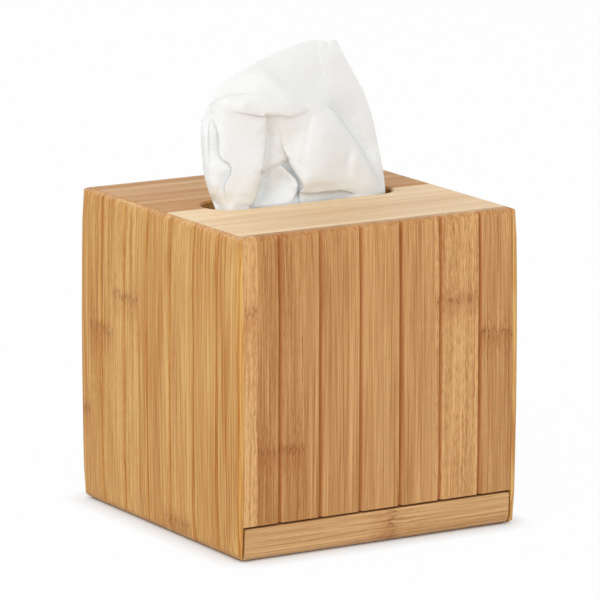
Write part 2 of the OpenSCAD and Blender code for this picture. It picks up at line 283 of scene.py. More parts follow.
# %% Bamboo group: dots, end grain and outputs
def cells(place):
    """Distance to the middle of the nearest cell, which makes round dots."""
    node = add_node(bamboo, "ShaderNodeTexVoronoi")
    feed(bamboo, place, node.inputs["Vector"])
    node.inputs["Scale"].default_value = 1.0
    return node.outputs["Distance"]


DOT_DARK, RAGGED_DARK = 0.45, 0.4
PORE_RED, END_RED = 0.4, 0.06
dot = remap(bamboo, cells(pattern_place(across, 0.85, from_node, 0.45)), 0.42, 0.18)
dots = times(dot, remap(bamboo, band, 0.2, 0.7))
ragged = times(band, remap(bamboo, fibre["ragged"], -0.08, 0.12))
knot = maths(bamboo, "MINIMUM", plus(times(dots, DOT_DARK), times(ragged, RAGGED_DARK)), 1.0)
faced = mix_colour(bamboo, knot, warmed, brown)
pore = remap(bamboo, cells(pattern_place(across, 1.15, depth, 1.15)), 0.45, 0.2)
ended = mix_colour(bamboo, plus(times(pore, PORE_RED), END_RED), plain, red)
whole = mix_colour(bamboo, given.outputs["End"], faced, ended)
# Painted shade in the grooves: the colour goes toward reddish brown by the Groove value.
whole = mix_colour(bamboo, given.outputs["Groove Shade"], whole, red)
bamboo.links.new(whole, made.inputs["Color"])
rough = remap(bamboo, fibre["fine"], -0.3, 0.3, 0.46, 0.36, smooth=False)
bamboo.links.new(rough, made.inputs["Roughness"])
relief = maths(bamboo, "SUBTRACT", times(fibre["fine"], 0.5), times(knot, 0.8))
bamboo.links.new(relief, made.inputs["Height"])
print("bamboo group:", len(bamboo.nodes), "nodes")

# %% [markdown]
# ## Boards
# A board's material turns the object's coordinates into its own directions and says, strip by strip, how
# light the strip is, how wavy, and where its node lies. A colour ramp without blending does that well:
# every stop starts a strip, its red is the shade, its green the figure and its blue the place of the node
# along the board. The V grooves are in the boards' shape, and their colour also gets a painted shade:
# it goes toward a reddish brown, darker than the face.

# %% Start and end of a material
def srgb(red, green, blue):
    def linear(value):
        value /= 255.0
        return value / 12.92 if value <= 0.04045 else ((value + 0.055) / 1.055) ** 2.4
    return (linear(red), linear(green), linear(blue), 1.0)


def start_material(name):
    """A new material, its tree, the place on the piece in millimetres, and the normal."""
    material = bpy.data.materials.new(name)
    material.use_nodes = True
    tree = material.node_tree
    place = add_node(tree, "ShaderNodeTexCoord")
    scaled = add_node(tree, "ShaderNodeVectorMath", operation="SCALE")
    tree.links.new(place.outputs["Object"], scaled.inputs[0])
    scaled.inputs["Scale"].default_value = 1.0 / MM
    return material, tree, scaled.outputs[0], place.outputs["Normal"]


def finish_material(tree, group, colour, strength, distance, plain_values):
    """The colour and the group's roughness and height go to the shader, with plain values beside them."""
    shader = tree.nodes["Principled BSDF"]
    tree.links.new(colour, shader.inputs["Base Color"])
    tree.links.new(group.outputs["Roughness"], shader.inputs["Roughness"])
    bump = add_node(tree, "ShaderNodeBump")
    bump.inputs["Strength"].default_value = strength
    bump.inputs["Distance"].default_value = distance
    tree.links.new(group.outputs["Height"], bump.inputs["Height"])
    tree.links.new(bump.outputs[0], shader.inputs["Normal"])
    for label, value in plain_values.items():
        shader.inputs[label].default_value = value


print("white of the paper, linear:", [round(value, 3) for value in srgb(234, 234, 232)[:3]])

# %% Strips as a colour ramp
SPAN = 160.0


def node_at(place):
    return (place - NODE_START) / NODE_SPAN


def strip_card(tree, value, strips):
    ramp = add_node(tree, "ShaderNodeValToRGB")
    ramp.color_ramp.interpolation = "CONSTANT"
    feed(tree, maths(tree, "MULTIPLY_ADD", value, 1.0 / SPAN, 0.5), ramp.inputs[0])
    stops = ramp.color_ramp.elements
    stops.remove(stops[1])
    for number, (start, shade, figure, node) in enumerate(strips):
        place = 0.0 if number == 0 else start / SPAN + 0.5
        stop = stops[0] if number == 0 else stops.new(place)
        stop.position = place
        stop.color = (shade, figure, node_at(node), 1.0)
    return ramp.outputs[0]


print("a ramp spans", SPAN, "mm")

# %% Board material
AXES = {"X": 0, "Y": 1, "Z": 2}
RED_FIBRE, NODE_BROWN, GLUE_LINE = (164, 92, 38), (124, 70, 28), (104, 62, 30)
GROOVE_PITCH, GROOVE_HALF, GROOVE_EDGE = 20.0, 0.45, 0.8
LAST_GROOVE, FACE_AT = 60.0, 67.0
GLUE_WIDTH, GLUE_DARK = 0.35, 0.55


def groove_shade_mask(tree, across, outward):
    """Where the painted groove shade goes: one in the grooves of a face that lies farther out than FACE_AT,
    and zero elsewhere.
    """
    half_pitch = GROOVE_PITCH / 2.0
    out = maths(tree, "ABSOLUTE", across)
    edge = half_pitch - GROOVE_HALF
    inside = remap(tree, maths(tree, "PINGPONG", out, half_pitch), edge - GROOVE_EDGE, edge)
    ends = remap(tree, out, LAST_GROOVE + 0.5, LAST_GROOVE - 0.5)
    outside = remap(tree, maths(tree, "ABSOLUTE", outward), FACE_AT, FACE_AT + 0.2)
    return maths(tree, "MULTIPLY", maths(tree, "MULTIPLY", inside, ends), outside)


def board_material(name, order, start, strips, colours, seed, joints=(), grooves=0.0, coat=0.08, grain=1.0,
                   shine=0.28):
    """Bamboo for a board. The order names its axes across the strips, along the fibres and into it."""
    material, tree, place, normal = start_material(name)
    xyz, normal = separate(tree, place), separate(tree, normal)
    a, b, c = (AXES[letter] for letter in order)
    group = add_node(tree, "ShaderNodeGroup", node_tree=bamboo)
    feed(tree, combine(tree, xyz[a], maths(tree, "SUBTRACT", xyz[b], start), xyz[c]), group.inputs["Place"])
    feed(tree, strip_card(tree, xyz[a], strips), group.inputs["Strip"])
    feed(tree, remap(tree, maths(tree, "ABSOLUTE", normal[b]), 0.28, 0.6), group.inputs["End"])
    # The grooves value sets the painted shade in the grooves, which darkens their colour.
    if grooves:
        mask = groove_shade_mask(tree, xyz[a], xyz[c])
        feed(tree, maths(tree, "MULTIPLY", mask, grooves), group.inputs["Groove Shade"])
    for label, shade in zip(("Light", "Dark", "Red", "Node"), (*colours, RED_FIBRE, NODE_BROWN)):
        feed(tree, srgb(*shade), group.inputs[label])
    feed(tree, seed, group.inputs["Seed"])
    feed(tree, grain, group.inputs["Grain"])
    colour = group.outputs["Color"]
    for axis, plane in joints:
        off = maths(tree, "ABSOLUTE", maths(tree, "SUBTRACT", xyz[AXES[axis]], plane))
        line = remap(tree, off, GLUE_WIDTH, 0.1, 0.0, GLUE_DARK)
        colour = mix_colour(tree, line, colour, srgb(*GLUE_LINE))
    finish_material(tree, group, colour, 0.25, 0.2 * MM,
                    {"Coat Weight": coat, "Coat Roughness": 0.2, "Specular IOR Level": shine})
    return material


print("grooves every", GROOVE_PITCH, "mm, the last", LAST_GROOVE, "mm from the middle")

# %% [markdown]
# The strips of each board, from its low side to its high side: start, shade, figure and node. A node far
# below zero means that the strip has none on this board.

# %% Strips of each board
NONE = -19.9
FRONT_STRIPS = [
    (-80, 0.8, 0.65, 108), (-61.3, 0.3, 0.2, 47), (-38.4, 0.38, 0.0, NONE), (-16.6, 0.54, 0.05, NONE),
    (5.1, 0.5, 0.1, NONE), (26.6, 0.62, 0.6, 104), (48.3, 0.46, 0.15, 86),
]
# The left wall's first strip, up to -67.6 mm, is darker than its neighbour: a painted shade over the rounded
# front edge, which the lamps light strongly.
LEFT_STRIPS = [
    (-80, 0.44, 0.0, NONE), (-67.6, 0.56, 0.0, NONE), (-61.3, 0.4, 0.0, NONE), (-49.1, 0.48, 0.0, NONE),
    (-26.6, 0.62, 0.2, 7), (-4.7, 0.44, 0.0, NONE), (17, 0.58, 0.3, 98), (39, 0.54, 0.25, 80),
    (60.6, 0.52, 0.1, 43),
]
TOP_STRIPS = [
    (-80, 0.76, 0.1, NONE), (-44.9, 0.78, 0.1, NONE), (-23.7, 0.92, 0.1, NONE), (-3.0, 0.14, 0.1, NONE),
    (18.4, 0.2, 0.1, NONE), (38.4, 0.34, 0.1, NONE), (58, 0.16, 0.1, NONE),
]
BAR_STRIPS = [(-80, 0.58, 0.1, 76), (15, 0.5, 0.1, NONE)]


def other_board(strips, shades, nodes):
    """Strips for a board out of view: dark where these are light, with their nodes at another height."""
    return [(start, shades - shade, figure, nodes - node if node > 0 else NONE)
            for start, shade, figure, node in strips]


BACK_STRIPS = other_board(FRONT_STRIPS, 0.9, 130)
RIGHT_STRIPS = other_board(LEFT_STRIPS, 0.95, 120)
print("strips: front", len(FRONT_STRIPS), "left", len(LEFT_STRIPS), "top", len(TOP_STRIPS))

# %% Boards dressed
# A light and a dark shade for each kind of board.
PANEL = (218, 170, 112), (158, 102, 46)
WALL = (226, 183, 113), (176, 111, 40)
TOP = (243, 216, 177), (184, 124, 52)
BAR = (222, 180, 126), (162, 112, 60)
# The grooves value of a look is the strength of the painted shade in the grooves.
WALL_LOOK = {"grooves": 0.32, "coat": 0.03, "grain": 1.3, "shine": 0.15}
PANEL_LOOK = {"grooves": 0.6}
TOP_LOOK = {"coat": 0.02, "grain": 0.5, "shine": 0.06}
END_AT = -70.0
FRONT_JOINTS = [("X", -68.0), ("X", 66.4)]
TOP_JOINTS = [("X", -66.8), ("X", 66.8), ("Y", -63.6), ("Y", 63.6)]
# Board, material, axes, where its fibres start, strips, shades, seed, joints and the rest of its look.
BOARDS = [
    ("left_wall", "bamboo_left", "YZX", 0.0, LEFT_STRIPS, WALL, 3.0, (), WALL_LOOK),
    ("right_wall", "bamboo_right", "YZX", 0.0, RIGHT_STRIPS, WALL, 11.0, (), WALL_LOOK),
    ("front_panel", "bamboo_front", "XZY", 0.0, FRONT_STRIPS, PANEL, 5.0, FRONT_JOINTS, PANEL_LOOK),
    ("back_panel", "bamboo_back", "XZY", 0.0, BACK_STRIPS, PANEL, 17.0, FRONT_JOINTS, PANEL_LOOK),
    ("top_panel", "bamboo_top", "YXZ", END_AT, TOP_STRIPS, TOP, 7.0, TOP_JOINTS, TOP_LOOK),
    ("base_board", "bamboo_base", "YXZ", END_AT, RIGHT_STRIPS, PANEL, 23.0, (), {}),
    ("base_front", "bamboo_bar", "ZXY", END_AT, BAR_STRIPS, BAR, 29.0, (), {}),
]
for board, *finish, look in BOARDS:
    boards[board].data.materials.clear()
    boards[board].data.materials.append(board_material(*finish, **look))
print("dressed", len(BOARDS), "boards")

# %% [markdown]
# ## Paper
# A facial tissue is soft white paper, creped on the machine: it carries a very fine ripple across its
# length. It is matt and lets some light through, so its shaded folds stay pale. Low down it gets a second,
# slightly cooler tint, because the wood round the slot throws warm light on it.

# %% Paper group
paper, given, made = new_group("creped_paper", [
    ("Place", "Vector", (0.0, 0.0, 0.0)),
    ("Tint", "Color", (0.8, 0.8, 0.8, 1.0)),
    ("Low Tint", "Color", (0.8, 0.8, 0.8, 1.0)),
], [("Color", "Color"), ("Roughness", "Float"), ("Height", "Float")])
place_x, place_y, place_z = separate(paper, given.outputs["Place"])


def paper_noise(waves, detail):
    """Noise with so many waves a millimetre along x, y and z."""
    stretched = (maths(paper, "MULTIPLY", *pair) for pair in zip((place_x, place_y, place_z), waves))
    return noise(paper, combine(paper, *stretched), detail)


TINT_TOP, TINT_FOOT = 192.0, 152.0
SHADOW = (0.55, 0.55, 0.54, 1.0)
crepe = paper_noise((0.5, 1.0, 2.4), 2.0)
crumple = paper_noise((1.0, 1.0, 1.0), 3.0)
soft = paper_noise((0.12, 0.12, 0.12), 3.0)
low_down = remap(paper, place_z, TINT_TOP, TINT_FOOT)
tinted = mix_colour(paper, low_down, given.outputs["Tint"], given.outputs["Low Tint"])
shaded = mix_colour(paper, remap(paper, crumple, 0.3, 0.7, 0.0, 0.05), tinted, SHADOW)
paper.links.new(shaded, made.inputs["Color"])
rough = remap(paper, crepe, 0.2, 0.8, 0.82, 0.95, smooth=False)
paper.links.new(rough, made.inputs["Roughness"])
height = maths(paper, "MULTIPLY", soft, 1.6)
for pattern, share in ((crumple, 0.35), (crepe, 0.25)):
    height = maths(paper, "ADD", maths(paper, "MULTIPLY", pattern, share), height)
paper.links.new(height, made.inputs["Height"])
print("paper group:", len(paper.nodes), "nodes")


# %% Paper material
def paper_material(name, tint, low_tint, glow):
    material, tree, place, _ = start_material(name)
    group = add_node(tree, "ShaderNodeGroup", node_tree=paper)
    feed(tree, place, group.inputs["Place"])
    feed(tree, tint, group.inputs["Tint"])
    feed(tree, low_tint, group.inputs["Low Tint"])
    finish_material(tree, group, group.outputs["Color"], 0.35, 0.3 * MM,
                    {"Specular IOR Level": 0.2, "Subsurface Weight": glow,
                     "Subsurface Radius": (1.0, 1.0, 1.0), "Subsurface Scale": 1.0 * MM})
    return material


TISSUE_WHITE = paper_material("tissue_white", srgb(234, 234, 232), srgb(234, 238, 240), 0.15)
print("paper:", TISSUE_WHITE.name)

# %% [markdown]
# ## The pack
# The pack is a pile of folded leaves, each about a millimetre thick, never quite square on each other. A
# Geometry Nodes tree piles them: a mesh line gives the places, one rounded leaf is set on each, and a small
# random turn and shift does the rest. Its inputs are named, so another pack only needs other numbers.

# %% One leaf
PACK_WIDTH, PACK_DEPTH, PACK_HEIGHT, PACK_CORNER = (value * MM for value in (111.2, 105.2, 59.6, 4.0))
PACK_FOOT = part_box("tissue_stack")[0][2] + 0.1 * MM
LEAVES = 52
LEAF_RISE = PACK_HEIGHT / LEAVES
LEAF_SHARE = 0.97
CORNER_STEPS = 4
# How wide the leaf is, as a share, at each share of its thickness: its edge is a little rounded.
LEAF_EDGE = [(0.985, 0.0), (1.0, 0.3), (1.0, 0.7), (0.985, 1.0)]


def leaf_mesh(width, depth, thickness, corner):
    ring = []
    for number, (x, y) in enumerate(((1, 1), (-1, 1), (-1, -1), (1, -1))):
        for step in range(CORNER_STEPS + 1):
            turn = math.radians(90 * number + 90 * step / CORNER_STEPS)
            ring.append((x * (width / 2 - corner) + corner * math.cos(turn),
                         y * (depth / 2 - corner) + corner * math.sin(turn)))
    verts = [(x * scale, y * scale, level * thickness) for scale, level in LEAF_EDGE for x, y in ring]
    n, levels = len(ring), len(LEAF_EDGE)
    faces = [tuple(reversed(range(n))), tuple(range((levels - 1) * n, levels * n))]
    for low in range(0, (levels - 1) * n, n):
        for i in range(n):
            j = (i + 1) % n
            faces.append((low + i, low + j, low + n + j, low + n + i))
    mesh = bpy.data.meshes.new("leaf")
    mesh.from_pydata(verts, [], faces)
    return mesh


leaf = leaf_mesh(PACK_WIDTH, PACK_DEPTH, LEAF_RISE * LEAF_SHARE, PACK_CORNER)
print("a leaf has", len(leaf.polygons), "faces and is", round(LEAF_RISE * LEAF_SHARE / MM, 2), "mm thick")


# %% Tree that piles the leaves
def pile_tree():
    tree = bpy.data.node_groups.new("pile_of_leaves", "GeometryNodeTree")
    for label, kind, default in (
        ("Geometry", "Geometry", None),
        ("Leaves", "Int", 50),
        ("Rise", "Float", 0.001),
        ("Turn", "Float", 0.01),
        ("Shift", "Float", 0.0003),
        ("Seed", "Int", 4),
        ("Paper", "Material", None),
    ):
        socket = tree.interface.new_socket(label, in_out="INPUT", socket_type="NodeSocket" + kind)
        if default is not None:
            socket.default_value = default
    tree.interface.new_socket("Geometry", in_out="OUTPUT", socket_type="NodeSocketGeometry")
    start, end = add_node(tree, "NodeGroupInput"), add_node(tree, "NodeGroupOutput")

    def spread(x, y, z, seed_shift):
        """A random vector between minus and plus a vector."""
        back = (maths(tree, "MULTIPLY", value, -1.0) for value in (x, y, z))
        chance = add_node(tree, "FunctionNodeRandomValue", data_type="FLOAT_VECTOR")
        feed(tree, combine(tree, *back), chance.inputs[0])
        feed(tree, combine(tree, x, y, z), chance.inputs[1])
        feed(tree, maths(tree, "ADD", start.outputs["Seed"], seed_shift), chance.inputs["Seed"])
        return chance.outputs[0]

    shift, turn = start.outputs["Shift"], start.outputs["Turn"]
    line = add_node(tree, "GeometryNodeMeshLine", mode="OFFSET")
    moved = add_node(tree, "GeometryNodeSetPosition")
    placed = add_node(tree, "GeometryNodeInstanceOnPoints")
    real = add_node(tree, "GeometryNodeRealizeInstances")
    dressed = add_node(tree, "GeometryNodeSetMaterial")
    for value, socket in (
        (start.outputs["Leaves"], line.inputs["Count"]),
        (combine(tree, 0.0, 0.0, start.outputs["Rise"]), line.inputs["Offset"]),
        (line.outputs[0], moved.inputs["Geometry"]),
        (spread(shift, shift, 0.0, 1.0), moved.inputs["Offset"]),
        (moved.outputs[0], placed.inputs["Points"]),
        (start.outputs["Geometry"], placed.inputs["Instance"]),
        (spread(0.0, 0.0, turn, 2.0), placed.inputs["Rotation"]),
        (placed.outputs[0], real.inputs[0]),
        (real.outputs[0], dressed.inputs["Geometry"]),
        (start.outputs["Paper"], dressed.inputs["Material"]),
        (dressed.outputs[0], end.inputs[0]),
    ):
        feed(tree, value, socket)
    return tree


def run_tree(name, mesh, tree, inputs):
    """The plain mesh that a tree makes of a start mesh, with its inputs set by name."""
    maker = bpy.data.objects.new(name + "_maker", mesh)
    modifier = maker.modifiers.new("tree", "NODES")
    modifier.node_group = tree
    for item in tree.interface.items_tree:
        if item.in_out == "INPUT" and item.name in inputs:
            modifier[item.identifier] = inputs[item.name]
    bpy.context.scene.collection.objects.link(maker)
    graph = bpy.context.evaluated_depsgraph_get()
    result = bpy.data.meshes.new_from_object(maker.evaluated_get(graph), depsgraph=graph)
    bpy.data.objects.remove(maker)
    result.name = name
    return result


pile_of_leaves = pile_tree()
print("tree:", pile_of_leaves.name, "with", len(pile_of_leaves.nodes), "nodes")

# %% Pile of folded leaves
pile_mesh = run_tree("pack", leaf, pile_of_leaves, {
    "Leaves": LEAVES, "Rise": LEAF_RISE, "Turn": 0.003, "Shift": 0.0003, "Seed": 4, "Paper": TISSUE_WHITE,
})
pile_mesh.transform(Matrix.Translation((0.0, 0.0, PACK_FOOT)))
pile = bpy.data.objects.new("pack", pile_mesh)
bpy.context.scene.collection.objects.link(pile)
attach(pile, "box")
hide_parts("tissue_stack")
print("pack:", len(pile_mesh.polygons), "faces")


# %% [markdown]
# ## The drawn tissue: outline and folds
# One sheet, about 200 mm square, stands up out of the slot. It is folded round its left side, so its
# section is a narrow U: a front layer, a round fold at the left and a back layer. A cloth simulation would
# not fall into just these folds, so they are laid one by one, as a sculptor would: a soft base surface runs
# through places read off the picture, and fold lines press steps and creases into it.
#
# The outlines, the fold lines and the spots on the sheet are given across and down in the picture's
# pixels. The script turns them into millimetres on an upright plane through the slot, to the right and up.
# Depths are in millimetres, and more below zero is nearer to the viewer. A place that lies deeper moves
# along the line of sight, so the outline stays.

# %% Outline and fold lines
SEEN_PLANE = -10.0
EYE = [value / MM for value in camera.location]


def on_plane(spots):
    """Right and up, in millimetres on the upright plane, of spots given across and down in the picture."""
    places = []
    for across, down in spots:
        sight = cam_right * (across - PICTURE_PIXELS / 2) - cam_up * (down - PICTURE_PIXELS / 2)
        sight -= back * FOCAL_PIXELS
        reach = (SEEN_PLANE - EYE[1]) / sight.y
        places.append((EYE[0] + reach * sight.x, EYE[2] + reach * sight.z))
    return places


LEFT_EDGE_SEEN = [
    (215.6, 208.6), (210.5, 196), (206.5, 184), (204, 174), (202.8, 160), (201.5, 145), (201, 130),
    (202, 120),
]
TOP_EDGE_SEEN = [
    (202, 120), (205.5, 111), (210.6, 100.4), (216.7, 89), (225, 81), (238.1, 72.3), (250, 65.6),
    (264.1, 58.3), (275, 53.1), (287.2, 47.6), (300, 43), (310.1, 39.9), (317.9, 39.9), (325.4, 40.8),
    (328, 41.7), (331, 40.3), (336.1, 39.3),
]
RIGHT_EDGE_SEEN = [
    (385, 191.3), (384, 178), (382, 165.5), (379, 150), (376, 134.7), (373, 120), (369.8, 108.8), (366, 98),
    (360.7, 85.8), (353, 72), (345.4, 58.4), (340, 48), (336.1, 39.3),
]
FOOT_EDGE_SEEN = [
    (215.6, 208.6), (230, 208.4), (245, 207.2), (275, 204), (310, 199.8), (350, 195.4), (385, 191.3),
]
# Spots on the front layer: across and down in the picture, and the judged depth. Here the depth is
# that of the base surface alone.
BASE_SPOTS = [
    (204, 122, -5), (208, 108, -4.5), (238, 72, -3), (264, 58, -2), (287, 48, -1), (310, 40, 0),
    (323, 40.5, -0.3), (336, 39, 0),
    (248, 76, -7), (265, 70, -7), (290, 62, -5.5), (312, 58, -4), (330, 58, -3.5), (346, 62, -2.5),
    (262, 84, -11.5), (280, 88, -12), (300, 84, -9.5), (318, 84, -7.5), (340, 86, -6), (358, 86, -4),
    (216, 110, -9), (228, 104, -12.5), (244, 102, -15), (265, 101, -15.5), (288, 102, -15.5),
    (305, 103, -14), (318, 104, -13), (272, 113, -15.5), (292, 112, -15.5), (312, 113, -14),
    (326, 112, -13),
    (340, 106, -9), (352, 114, -7), (366, 112, -5), (356, 130, -8), (371, 130, -5.5), (367, 150, -7.5),
    (379, 152, -5.5), (377, 172, -8), (384, 180, -6),
    (284, 128, -12.5), (300, 130, -13), (320, 128, -15), (336, 136, -14), (348, 148, -12.5),
    (357, 158, -12), (298, 158, -12.5), (318, 158, -15), (338, 170, -13), (362, 172, -11.5),
    (310, 178, -14), (330, 184, -13), (352, 186, -11.5), (372, 184, -10.5), (310, 193, -11),
    (330, 195, -9.5), (350, 193, -10), (370, 190.5, -10.5), (383, 190, -8),
]
# Here it is the depth of the sheet itself, with what the folds add.
SHEET_SPOTS = [
    (216, 90, -3), (232, 84, -5.4), (240, 90, -7), (232, 116, -12.6), (250, 112, -15.2),
    (270, 128, -8.8), (272, 145, -8), (276, 154, -8), (266, 160, -6.4), (266, 180, -3.4), (276, 178, -4.6),
    (264.5, 192, -3.6), (288, 182, -6), (278, 189, -5), (290, 194, -8), (268, 203, -7.6), (285, 202, -9),
    (205.5, 135, -8.2), (207, 155, -8.2), (209.5, 175, -8.2), (214.5, 194.5, -8),
    (214, 130, -8), (214, 150, -8.2), (214, 168, -9.8), (216, 186, -9.8), (220, 202, -9.4),
    (223, 176, -10.4), (221.5, 193.5, -9.6), (223.5, 130.5, -12), (235, 129, -12.6), (247, 128.5, -13),
    (258, 130, -13.4), (225, 150.5, -12.3), (236.5, 149, -12.8), (247, 152, -13.3), (258, 156, -13.8),
    (240, 172, -12.8), (254, 178, -13.6), (234, 188, -11.6), (242, 194, -12.2), (250, 197, -12.4),
    (236, 206, -10.6), (247, 205, -10.8),
]
# A ledge steps back on the right-hand side of its line: line in the picture, step at each point, share of
# the step that lifts the high side, and reach.
LEDGES_SEEN = [
    ([(211, 118), (222, 113), (232, 111.5), (240, 112), (250, 114), (262, 116), (272, 116.5), (282, 115),
      (290, 117), (300, 113.5), (306, 111), (315, 110)],
     [0, 0, 0, 0.7, 1.5, 1.9, 1.7, 1.6, 1.8, 1.3, 0.3, 0], 0.3, 3.2),
    ([(257, 94.5), (245, 93.5), (232, 95), (223, 97.5), (217, 101.5), (211, 106)],
     [0, 2.2, 3.8, 4.6, 4.2, 1.6], 0.15, 4.2),
    ([(249, 208), (254, 202), (258, 192), (261, 180), (263.5, 165), (265, 150), (266, 135), (266, 117)],
     [1, 4, 8.6, 9.4, 7.4, 6, 5, 3], 0.12, 4.4),
    ([(278, 118), (279, 128), (281, 140), (284.5, 150), (289, 161), (294, 171), (299, 178), (305, 186),
      (299, 192), (300, 201)],
     [0.1, 0.2, 0.4, 1.2, 3.6, 5, 5.5, 5, 4, 2], 0.4, 3.2),
    ([(262, 173), (268, 168), (276, 164.5), (284, 160), (288, 158.5)], [2.4, 2, 1.5, 1.5, 1.5], 0.4, 3.0),
    ([(292, 203), (296, 194), (297.5, 186), (296, 179), (288, 172), (282, 166)],
     [0, 2, 3, 3, 3, 2], 0.5, 2.2),
    ([(384.5, 191), (380, 183), (374, 173), (368, 162), (363, 152), (358, 144), (350, 133), (342, 122),
      (334, 112), (327, 105)],
     [0.5, 1.5, 3, 4.4, 5.2, 5.6, 5.4, 4.6, 2.8, 0], 0.3, 4.4),
    ([(301.5, 192), (312.5, 192.7), (326.5, 190.7), (340, 189.5), (348, 191), (354.7, 194)],
     [2, 3, 3, 2.8, 1.6, 0], 0.2, 3.0),
    ([(214, 121.5), (217.5, 128.4), (219.4, 138), (219.6, 150), (220.4, 157), (224.2, 160.4),
      (229.7, 163.3), (232, 169), (230, 176.5), (225, 183.7), (224.5, 193), (226.3, 204)],
     [0.4, 2, 2.6, 2.6, 2.4, 2, 1.7, 1.5, 1.5, 1.4, 1.2, 0.6], 0.1, 3.6),
    ([(210, 169.2), (208.2, 156.8), (207.6, 143), (208, 129), (209.4, 121)],
     [0.2, 0.8, 1, 0.9, 0.2], 0.5, 1.8),
]
# A crease lies deeper than its sides, or higher with a minus: line in the picture, depth at each point and
# width.
CREASES_SEEN = [
    ([(311, 116), (309, 126), (307, 140), (303, 158), (300, 170)], [0.3, 0.4, 0.35, 0.25, 0.1], 1.3),
    ([(351.4, 147.5), (348.2, 158.5), (347.8, 168.5), (350.9, 177.4)], [0.2, 0.8, 0.8, 0.2], 2.0),
    ([(316, 44), (317, 54), (320, 66), (322, 74)], [0.3, 0.25, 0.2, 0.05], 1.2),
    ([(327.6, 41), (328.8, 49.4)], [0.5, 0.1], 1.0),
    ([(256.7, 69.4), (266.7, 75.8), (278.7, 86.3), (291, 99.6)], [-0.3, -0.9, -0.9, -0.2], 3.0),
]
LEFT_EDGE, TOP_EDGE = on_plane(LEFT_EDGE_SEEN), on_plane(TOP_EDGE_SEEN)
RIGHT_EDGE, FOOT_EDGE = on_plane(RIGHT_EDGE_SEEN), on_plane(FOOT_EDGE_SEEN)
LEDGES = [(on_plane(line), *rest) for line, *rest in LEDGES_SEEN]
CREASES = [(on_plane(line), *rest) for line, *rest in CREASES_SEEN]
# The back layer is out of the picture, so its lines are guessed, in millimetres to the right and up: pleats
# fan out of the slot, and some smaller creases cross them. A ridge stands out at the back, and a valley has
# a minus: line, height at each point and width.
BACK_FOLDS = [
    ([(-31, 139), (-32, 150), (-35, 162), (-39, 174), (-43, 186)], [1.6, 2.4, 2.6, 2, 0.2], 4.5),
    ([(-22, 139), (-23, 152), (-27, 168), (-30, 184), (-32, 196)], [-1.2, -2, -2.2, -1.4, -0.1], 4.0),
    ([(-12, 139), (-13, 153), (-17, 170), (-20, 186), (-20, 199)], [1.8, 2.6, 3, 2.2, 0.2], 5.0),
    ([(-3, 139), (-3, 150), (-5, 166), (-8, 182)], [-1.4, -2, -2, -0.2], 4.0),
    ([(5, 139), (5, 150), (2, 166), (0, 184), (3, 202)], [1.8, 2.6, 2.8, 2.2, 0.2], 4.5),
    ([(14, 139), (13, 152), (10, 168), (9, 182)], [-1, -1.8, -1.8, -0.2], 4.0),
    ([(22, 139), (23, 152), (21, 168), (19, 184), (14, 198)], [1.4, 2.2, 2.4, 1.6, 0.2], 4.2),
    ([(-40, 186), (-28, 178), (-15, 172), (-6, 177)], [-0.2, -1.3, -1.5, -0.2], 2.4),
    ([(4, 160), (12, 167), (20, 179)], [0.2, 1.3, 0.2], 2.4),
    ([(-17, 156), (-7, 150), (4, 153)], [-0.2, -1.2, -0.2], 2.2),
    ([(2, 198), (12, 188), (25, 181)], [-0.1, -1.2, -0.1], 2.6),
    ([(-32, 158), (-26, 163), (-19, 172)], [0.1, 1.1, 0.1], 2.2),
]
print("folds:", len(LEDGES), "ledges,", len(CREASES), "creases and", len(BACK_FOLDS), "pleats")

# %% [markdown]
# ## The drawn tissue: its surface
# Each fold line presses its step or crease into the sheet, and its part fades with the distance from the
# line. A thin plate, as a sheet of springy card would lie, carries the rest: it runs through the base spots,
# and under the sheet's spots it lies so that plate and folds together meet them.

# %% Lines and easing
def ease(value):
    """A soft way from 0 to 1."""
    value = np.clip(value, 0.0, 1.0)
    return value * value * (3.0 - 2.0 * value)


def smooth_line(points, rounds=2):
    """The line with its corners cut off twice, so that it bends softly."""
    points = np.array(points, float)
    for _ in range(rounds):
        cut = np.empty((2 * len(points) - 2, points.shape[1]))
        cut[0::2] = 0.75 * points[:-1] + 0.25 * points[1:]
        cut[1::2] = 0.25 * points[:-1] + 0.75 * points[1:]
        points = np.vstack([points[:1], cut, points[-1:]])
    return points


def along_line(points, shares):
    """The places at these shares of the line's length."""
    points = smooth_line(points)
    steps = np.linalg.norm(np.diff(points, axis=0), axis=1)
    length = np.concatenate([[0.0], np.cumsum(steps)])
    return np.stack([np.interp(shares * length[-1], length, points[:, k]) for k in range(2)], axis=-1)


print("top of the tissue at", along_line(TOP_EDGE, np.linspace(0.0, 1.0, 50))[:, 1].max().round(1), "mm")

# %% Thin plate
PLATE_UNIT, PLATE_GIVE = 50.0, 1e-4


def thin_plate(places):
    """The depth of a springy plate that passes through places given as right, up and depth."""
    places = np.array(places, float)
    xy, value = places[:, :2] / PLATE_UNIT, places[:, 2]
    n = len(places)

    def kernel(a, b):
        r2 = ((a[:, None, :] - b[None, :, :]) ** 2).sum(2)
        return 0.5 * r2 * np.log(np.maximum(r2, 1e-12))

    system = np.zeros((n + 3, n + 3))
    system[:n, :n] = kernel(xy, xy) + PLATE_GIVE * np.eye(n)
    system[:n, n], system[:n, n + 1:] = 1.0, xy
    system[n:, :n] = system[:n, n:].T
    weights = np.linalg.solve(system, np.concatenate([value, np.zeros(3)]))

    def surface(a, b):
        at = np.stack([a.ravel(), b.ravel()], axis=1) / PLATE_UNIT
        out = kernel(at, xy) @ weights[:n] + weights[n] + at @ weights[n + 1:]
        return out.reshape(a.shape)
    return surface


print("a plate through", len(BASE_SPOTS) + len(SHEET_SPOTS), "spots")


